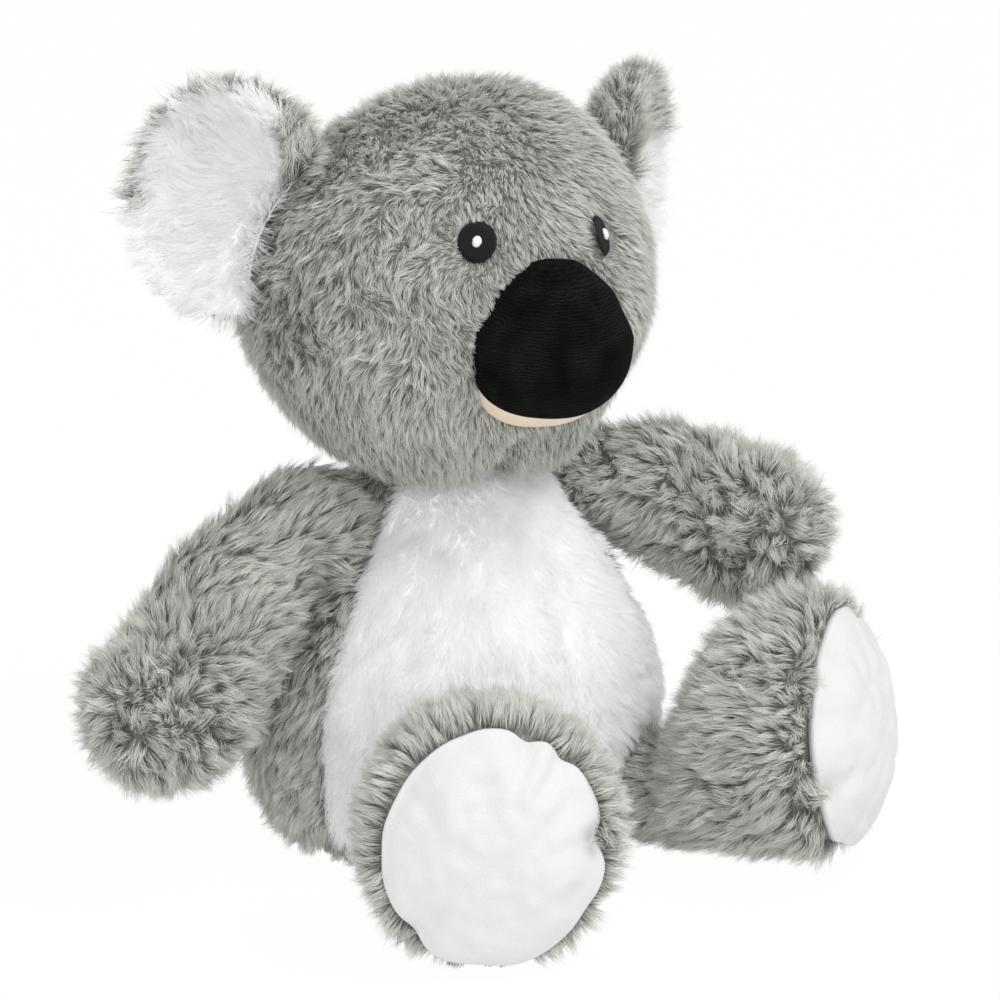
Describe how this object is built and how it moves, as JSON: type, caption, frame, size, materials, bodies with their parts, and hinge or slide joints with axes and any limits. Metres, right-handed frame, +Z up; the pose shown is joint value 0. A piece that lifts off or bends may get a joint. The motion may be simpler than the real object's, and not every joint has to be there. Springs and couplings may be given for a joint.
{
  "type": "plush koala",
  "caption": "Seated stuffed koala with a round turning head, cupped ears, swinging arms and legs, a pale belly panel and oval foot soles.",
  "frame": {"origin": "middle of the flat seat, on the floor that the toy sits on", "axes": "+Z up, the torso faces -Y, the toy's own left is +X"},
  "size_m": [0.2832, 0.2317, 0.2783],
  "materials": {
    "grey_plush": "long grey pile",
    "white_plush": "soft white pile",
    "black_short_pile": "short black pile",
    "black_thread": "satin stitch",
    "white_thread": "satin stitch",
    "white_short_pile": "smooth short white pile",
    "peach_felt": "felt",
    "fibre_filling": "loose fibre",
    "bean_cloth": "plain weave"
  },
  "bodies": {
    "torso": {"torso_cover": "grey_plush", "belly_panel": "white_plush", "torso_filling": "fibre_filling", "seat_bean_bag": "bean_cloth"},
    "neck": {"neck_filling": "fibre_filling"},
    "head": {"head_cover": "grey_plush", "head_filling": "fibre_filling", "nose": "black_short_pile", "mouth": "peach_felt", "eye_r": "black_thread", "eye_l": "black_thread", "eye_glint_r": "white_thread", "eye_glint_l": "white_thread"},
    "ear_r": {"ear_back_r": "grey_plush", "ear_lining_r": "white_plush"},
    "ear_l": {"ear_back_l": "grey_plush", "ear_lining_l": "white_plush"},
    "arm_r": {"arm_cover_r": "grey_plush", "arm_filling_r": "fibre_filling"},
    "arm_l": {"arm_cover_l": "grey_plush", "arm_filling_l": "fibre_filling"},
    "leg_r": {"leg_cover_r": "grey_plush", "leg_filling_r": "fibre_filling", "foot_sole_r": "white_short_pile"},
    "leg_l": {"leg_cover_l": "grey_plush", "leg_filling_l": "fibre_filling", "foot_sole_l": "white_short_pile"}
  },
  "joints": [
    {"name": "neck_turn", "type": "hinge", "parent": "torso", "child": "neck", "pos_m": [0, 0, 0.104], "axis": [0, 0, 1], "range_deg": [-25, 25], "stiffness_Nm_per_rad": 1.5},
    {"name": "head_lean", "type": "hinge", "parent": "neck", "child": "head", "pos_m": [0, 0, 0.104], "axis": [-0.9962, 0.0872, 0], "range_deg": [-10, 10], "stiffness_Nm_per_rad": 3},
    {"name": "ear_r_flop", "type": "hinge", "parent": "head", "child": "ear_r", "pos_m": [-0.06264, 0.01803, 0.23224], "axis": [0.0695, -0.0061, 0.9976], "range_deg": [-10, 10], "stiffness_Nm_per_rad": 0.4},
    {"name": "ear_l_flop", "type": "hinge", "parent": "head", "child": "ear_l", "pos_m": [0.0686, 0.00655, 0.22303], "axis": [0.0695, -0.0061, 0.9976], "range_deg": [-10, 10], "stiffness_Nm_per_rad": 0.4},
    {"name": "arm_r_lift", "type": "hinge", "parent": "torso", "child": "arm_r", "pos_m": [-0.0525, 0.006, 0.117], "axis": [0, 1, 0], "range_deg": [0, 40], "stiffness_Nm_per_rad": 0.8},
    {"name": "arm_l_lift", "type": "hinge", "parent": "torso", "child": "arm_l", "pos_m": [0.0525, 0.006, 0.117], "axis": [0, -1, 0], "range_deg": [0, 40], "stiffness_Nm_per_rad": 0.8},
    {"name": "leg_r_lift", "type": "hinge", "parent": "torso", "child": "leg_r", "pos_m": [-0.03394, -0.06122, 0.0255], "axis": [-0.8746, 0.4848, 0], "range_deg": [-12, 15], "stiffness_Nm_per_rad": 1},
    {"name": "leg_l_lift", "type": "hinge", "parent": "torso", "child": "leg_l", "pos_m": [0.03812, -0.05871, 0.0255], "axis": [-0.8387, -0.5446, 0], "range_deg": [-12, 15], "stiffness_Nm_per_rad": 1}
  ]
}
